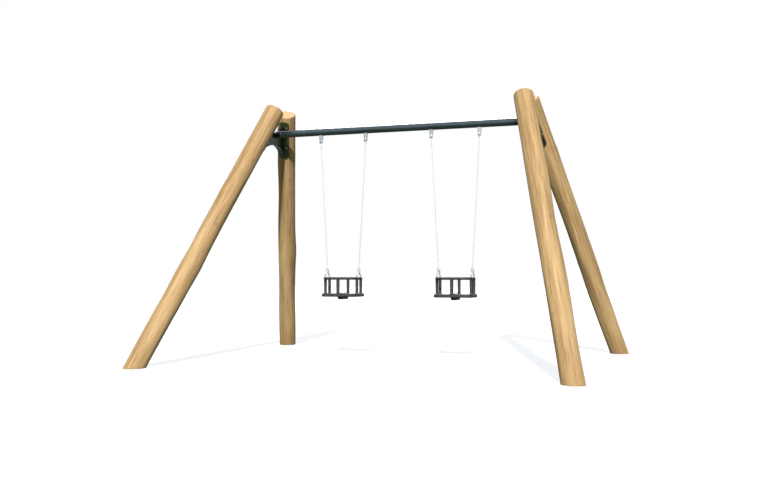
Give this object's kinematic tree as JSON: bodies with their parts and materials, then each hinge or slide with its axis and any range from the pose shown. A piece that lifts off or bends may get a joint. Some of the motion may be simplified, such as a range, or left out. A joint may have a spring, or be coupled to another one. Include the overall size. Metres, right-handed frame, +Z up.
{
  "type": "playground swing set",
  "caption": "Timber A-frame swing set: splayed log legs, tubular steel crossbar on arched end brackets, and cradle seats with post-and-rail cages on short-link chains.",
  "frame": {"origin": "on the ground, midway between the four legs", "axes": "+Z up, X along the crossbar, -Y the front"},
  "size_m": [4.3058, 3.5492, 2.689],
  "materials": {
    "timber": "debarked, sanded and lightly oiled log",
    "crossbar": "glossy dark green-grey powder coat",
    "bracket": "glossy dark green powder coat",
    "galvanised": "hot-dip galvanised",
    "fixings": "zinc plated",
    "chain": "galvanised",
    "shackle": "stainless, weathered",
    "bush": "nylon bearing bush",
    "rubber": "moulded matt black rubber"
  },
  "bodies": {
    "frame": {"leg_front_left": "timber", "saddle_front_left": "bracket", "coach_screws_front_left": "fixings", "leg_front_right": "timber", "saddle_front_right": "bracket", "coach_screws_front_right": "fixings", "leg_rear_left": "timber", "saddle_rear_left": "bracket", "coach_screws_rear_left": "fixings", "leg_rear_right": "timber", "saddle_rear_right": "bracket", "coach_screws_rear_right": "fixings", "crossbar": "crossbar", "end_plate_left": "bracket", "arch_flange_left": "bracket", "spigot_left": "galvanised", "end_plate_right": "bracket", "arch_flange_right": "bracket", "spigot_right": "galvanised", "locking_bolts": "fixings", "locking_nuts": "fixings", "hanger_left_outer": "galvanised", "hanger_left_inner": "galvanised", "pivot_pins_left": "fixings", "hanger_right_outer": "galvanised", "hanger_right_inner": "galvanised", "pivot_pins_right": "fixings"},
    "left_swing": {"swivel_eyes_left": "galvanised", "swivel_bushes_left": "bush", "chain_left_outer": "chain", "chain_left_inner": "chain"},
    "left_seat": {"shackle_bows_left": "shackle", "shackle_pins_left": "shackle", "seat_chains_left": "chain", "eye_bolts_left": "fixings", "seat_rail_left": "rubber", "side_posts_left": "rubber", "front_post_left": "rubber", "rear_post_left": "rubber", "seat_base_left": "rubber", "seat_spine_left": "rubber", "base_screws_left": "fixings"},
    "right_swing": {"swivel_eyes_right": "galvanised", "swivel_bushes_right": "bush", "chain_right_outer": "chain", "chain_right_inner": "chain"},
    "right_seat": {"shackle_bows_right": "shackle", "shackle_pins_right": "shackle", "seat_chains_right": "chain", "eye_bolts_right": "fixings", "seat_rail_right": "rubber", "side_posts_right": "rubber", "front_post_right": "rubber", "rear_post_right": "rubber", "seat_base_right": "rubber", "seat_spine_right": "rubber", "base_screws_right": "fixings"}
  },
  "joints": [
    {"name": "left_swing_pivot", "type": "hinge", "parent": "frame", "child": "left_swing", "pos_m": [-0.614, 0, 2.29221], "axis": [1, 0, 0], "range_deg": [-60, 60]},
    {"name": "left_seat_pitch", "type": "hinge", "parent": "left_swing", "child": "left_seat", "pos_m": [-0.614, 0, 0.9466], "axis": [1, 0, 0], "range_deg": [-25, 25]},
    {"name": "right_swing_pivot", "type": "hinge", "parent": "frame", "child": "right_swing", "pos_m": [0.614, 0, 2.29221], "axis": [1, 0, 0], "range_deg": [-60, 60]},
    {"name": "right_seat_pitch", "type": "hinge", "parent": "right_swing", "child": "right_seat", "pos_m": [0.614, 0, 0.9466], "axis": [1, 0, 0], "range_deg": [-25, 25]}
  ]
}
